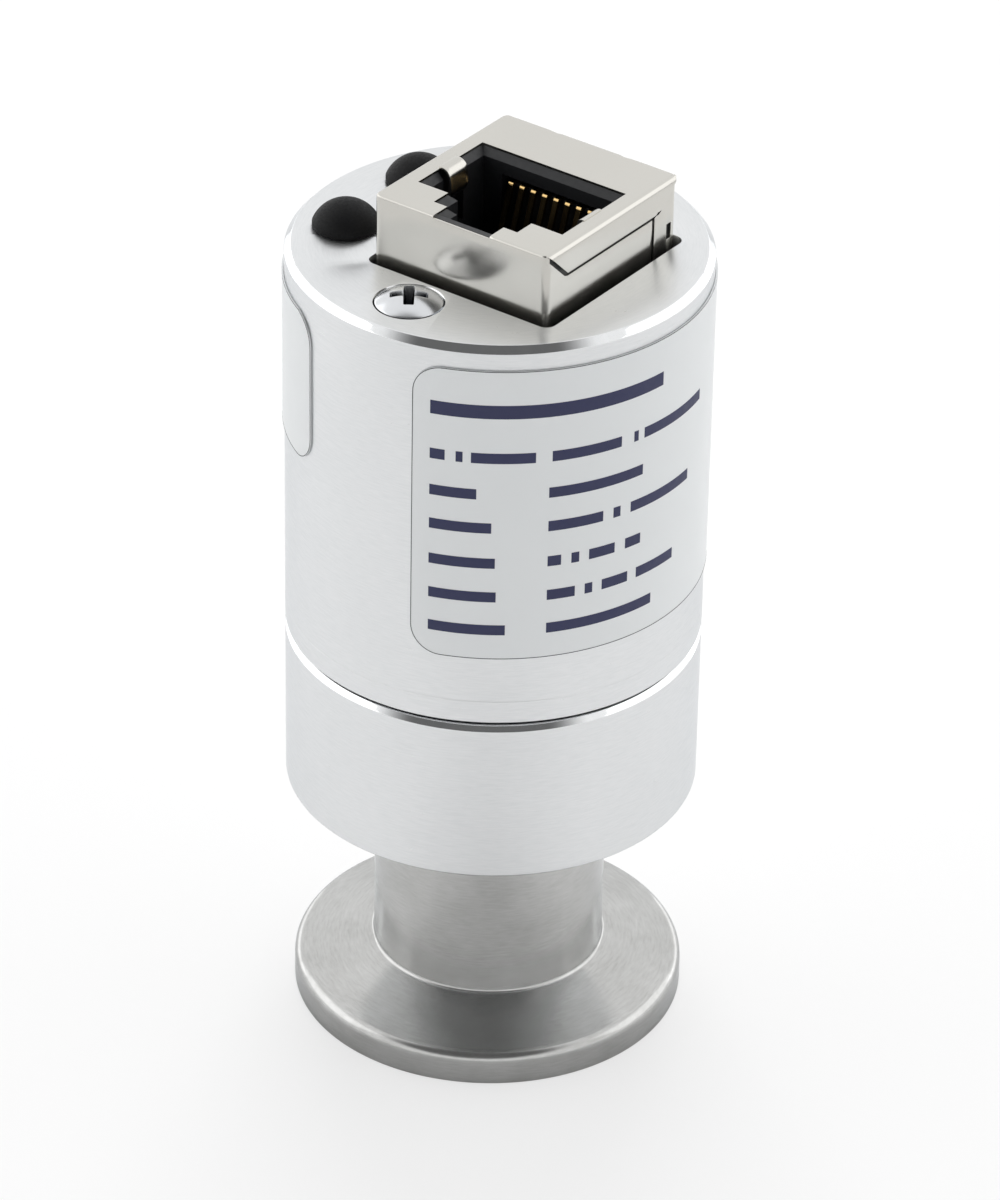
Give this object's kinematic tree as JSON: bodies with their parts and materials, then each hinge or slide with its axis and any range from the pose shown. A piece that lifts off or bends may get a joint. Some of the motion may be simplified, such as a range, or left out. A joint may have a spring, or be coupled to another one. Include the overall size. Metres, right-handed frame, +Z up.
{
  "type": "vacuum transmitter",
  "caption": "Small cylindrical vacuum gauge transmitter with a small clamp flange below and a shielded modular jack on top.",
  "frame": {"origin": "centre of the flange's sealing face, on which the part stands", "axes": "+Z up along the turned axis from the flange to the jack; X and Y along the jack's sides, with the jack's latch side towards -Y and its contacts towards +Y"},
  "size_m": [0.0316, 0.0315, 0.0698],
  "materials": {
    "aluminium": "turned, satin",
    "black_plastic": "moulded",
    "blue_plastic": "moulded",
    "board": "solder mask over glass-fibre laminate",
    "brass": "turned, nickel-free",
    "foil": "silver polyester foil",
    "gold": "gold-plated",
    "nickel": "nickel-plated, bright",
    "rubber": "moulded, matt",
    "seal_glass": "fused",
    "stainless": "turned, fine concentric lines",
    "tinned_sheet": "tin-plated, semi-bright",
    "white_plastic": "moulded",
    "wire": "drawn tungsten"
  },
  "bodies": {
    "housing": {"amplifier_chip_1": "black_plastic", "amplifier_chip_2": "black_plastic", "base_ring": "aluminium", "board_link": "black_plastic", "contact_carrier": "black_plastic", "cover_screw": "nickel", "filament": "wire", "filter_capacitor_1": "aluminium", "filter_capacitor_2": "aluminium", "flange": "stainless", "header_glass_1": "seal_glass", "header_glass_2": "seal_glass", "header_glass_3": "seal_glass", "header_glass_4": "seal_glass", "header_pin_1": "gold", "header_pin_2": "gold", "header_pin_3": "gold", "header_pin_4": "gold", "housing_cap": "aluminium", "jack_board": "board", "jack_body": "black_plastic", "jack_contact_1": "gold", "jack_contact_2": "gold", "jack_contact_3": "gold", "jack_contact_4": "gold", "jack_contact_5": "gold", "jack_contact_6": "gold", "jack_contact_7": "gold", "jack_contact_8": "gold", "jack_shield": "tinned_sheet", "label_main": "foil", "label_side": "foil", "lower_spacer_1": "brass", "lower_spacer_2": "brass", "lower_spacer_3": "brass", "neck_nut": "brass", "plug_span": "rubber", "plug_zero": "rubber", "regulator": "black_plastic", "screw_pillar": "brass", "sensor_board": "board", "sensor_header": "stainless", "sensor_socket": "black_plastic", "spacer_screw_1": "nickel", "spacer_screw_2": "nickel", "spacer_screw_3": "nickel", "temperature_sensor": "seal_glass", "trimmer_body_span": "blue_plastic", "trimmer_body_zero": "blue_plastic", "upper_spacer_1": "brass", "upper_spacer_2": "brass", "upper_spacer_3": "brass"},
    "rotor_zero": {"trimmer_rotor_zero": "white_plastic"},
    "rotor_span": {"trimmer_rotor_span": "white_plastic"}
  },
  "joints": [
    {"name": "zero_turn", "type": "hinge", "parent": "housing", "child": "rotor_zero", "pos_m": [-0.0103, -0.0049, 0.06], "axis": [0, 0, 1], "range_deg": [-105, 105]},
    {"name": "span_turn", "type": "hinge", "parent": "housing", "child": "rotor_span", "pos_m": [-0.0103, 0.0039, 0.06], "axis": [0, 0, 1], "range_deg": [-105, 105]}
  ]
}
